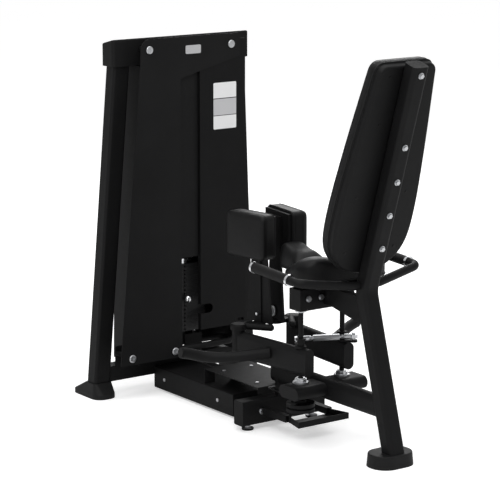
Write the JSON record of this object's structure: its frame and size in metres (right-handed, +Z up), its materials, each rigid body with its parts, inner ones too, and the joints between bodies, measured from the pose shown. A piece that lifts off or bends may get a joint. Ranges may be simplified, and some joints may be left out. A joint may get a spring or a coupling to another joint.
{
  "type": "hip abductor machine",
  "caption": "Seated selectorised hip abduction and adduction machine: leaning backrest, saddle seat, swinging arms with swivel thigh pads, and a covered weight tower.",
  "frame": {"origin": "on the floor under the middle of the machine's overall box", "axes": "+X to the seated user's right, +Y the way the user faces (towards the weight tower), +Z up"},
  "size_m": [0.809, 1.5951, 1.3963],
  "materials": {
    "frame_paint": "fine matte black powder coat",
    "panel_paint": "smooth satin black powder coat on sheet",
    "upholstery": "black synthetic leather with a fine grain",
    "backing": "moulded black backing shell",
    "grip_rubber": "black grip sleeve",
    "foot_rubber": "black rubber boot",
    "plastic_black": "matte black moulded plastic",
    "chrome": "polished chrome",
    "zinc": "zinc plated",
    "weight_iron": "black painted weight plates",
    "cable": "nylon coated wire",
    "badge": "blank brushed badge",
    "placard": "blank pale placard with grey bands"
  },
  "bodies": {
    "frame": {"back_board": "backing", "back_pad": "upholstery", "base_hoop": "frame_paint", "base_tray": "frame_paint", "blank_badge": "badge", "blank_placard": "placard", "button_screws": "zinc", "central_beam": "frame_paint", "drive_cable": "cable", "frame_bolts": "zinc", "front_plate": "panel_paint", "guide_rods": "chrome", "handle_bar": "frame_paint", "handle_grips": "grip_rubber", "handle_rings": "chrome", "lower_weight_plates": "weight_iron", "outrigger_tube": "frame_paint", "pivot_bearings": "zinc", "plate_bolts": "zinc", "plate_spacers": "frame_paint", "post_boots": "foot_rubber", "rear_cross_beam": "frame_paint", "rear_post": "frame_paint", "rear_post_boot": "foot_rubber", "rear_shield": "panel_paint", "seat_frame": "frame_paint", "seat_pad": "upholstery", "spine_beam": "frame_paint", "spine_cover": "panel_paint", "stack_panel_right": "panel_paint", "stack_shield": "panel_paint", "top_cap": "panel_paint", "top_crossbar": "frame_paint", "tower_base_beam": "frame_paint", "tower_posts": "frame_paint", "walk_plate": "panel_paint"},
    "left_arm": {"arm_left": "frame_paint", "pivot_shaft_left": "frame_paint", "drive_cam": "frame_paint", "foot_peg_left": "frame_paint"},
    "right_arm": {"arm_right": "frame_paint", "pivot_shaft_right": "frame_paint", "foot_peg_right": "frame_paint"},
    "left_pad": {"pad_upright_left": "frame_paint", "thigh_board_left": "backing", "thigh_pad_left": "upholstery"},
    "right_pad": {"pad_upright_right": "frame_paint", "thigh_board_right": "backing", "thigh_pad_right": "upholstery"},
    "left_knob": {"pull_knob_left": "zinc"},
    "right_knob": {"pull_knob_right": "zinc"},
    "link": {"tie_rod": "zinc"},
    "weight_carriage": {"upper_weight_plates": "weight_iron", "selector_rod": "chrome", "stack_cable": "cable"},
    "pin": {"selector_pin": "chrome"},
    "base_wheel": {"base_pulley": "plastic_black"},
    "top_wheel": {"top_pulley": "plastic_black"},
    "left_foot": {"levelling_foot_left": "foot_rubber"},
    "right_foot": {"levelling_foot_right": "foot_rubber"}
  },
  "joints": [
    {"name": "left_arm_swing", "type": "hinge", "parent": "frame", "child": "left_arm", "pos_m": [-0.092, -0.2721, 0.298], "axis": [0, 0, 1], "range_deg": [0, 55]},
    {"name": "right_arm_swing", "type": "hinge", "parent": "frame", "child": "right_arm", "pos_m": [0.092, -0.2721, 0.298], "axis": [0, 0, 1], "range_deg": [-55, 0]},
    {"name": "tie_rod_pivot", "type": "hinge", "parent": "left_arm", "child": "link", "pos_m": [-0.07122, -0.23219, 0.367], "axis": [0, 0, 1], "range_deg": [-55, 0]},
    {"name": "left_pad_swivel", "type": "hinge", "parent": "left_arm", "child": "left_pad", "pos_m": [-0.12292, 0.05745, 0.305], "axis": [0, 0, 1], "range_deg": [0, 180]},
    {"name": "right_pad_swivel", "type": "hinge", "parent": "right_arm", "child": "right_pad", "pos_m": [0.12292, 0.05745, 0.305], "axis": [0, 0, 1], "range_deg": [-180, 0]},
    {"name": "left_knob_pull", "type": "slide", "parent": "left_pad", "child": "left_knob", "axis": [0.9903, 0.1392, 0], "range_m": [0, 0.012]},
    {"name": "right_knob_pull", "type": "slide", "parent": "right_pad", "child": "right_knob", "axis": [-0.9903, 0.1392, 0], "range_m": [0, 0.012]},
    {"name": "weight_lift", "type": "slide", "parent": "frame", "child": "weight_carriage", "axis": [0, 0, 1], "range_m": [0, 0.0433]},
    {"name": "pin_pull", "type": "slide", "parent": "weight_carriage", "child": "pin", "axis": [0, -1, 0], "range_m": [0, 0.1]},
    {"name": "base_pulley_spin", "type": "hinge", "parent": "frame", "child": "base_wheel", "pos_m": [0, 0.6619, 0.17], "axis": [1, 0, 0], "range_deg": [-1, 56]},
    {"name": "top_pulley_spin", "type": "hinge", "parent": "frame", "child": "top_wheel", "pos_m": [0, 0.6729, 1.296], "axis": [1, 0, 0], "range_deg": [-74, 1]},
    {"name": "left_foot_screw", "type": "slide", "parent": "frame", "child": "left_foot", "axis": [0, 0, 1], "range_m": [0, 0.005]},
    {"name": "right_foot_screw", "type": "slide", "parent": "frame", "child": "right_foot", "axis": [0, 0, 1], "range_m": [0, 0.005]}
  ],
  "couplings": [
    {"joint": "right_arm_swing", "follows": "left_arm_swing", "ratio": -1},
    {"joint": "tie_rod_pivot", "follows": "left_arm_swing", "ratio": -1},
    {"joint": "weight_lift", "follows": "left_arm_swing", "m_per_rad": 0.045},
    {"joint": "base_pulley_spin", "follows": "left_arm_swing", "ratio": 1},
    {"joint": "top_pulley_spin", "follows": "left_arm_swing", "ratio": -1.3235}
  ]
}
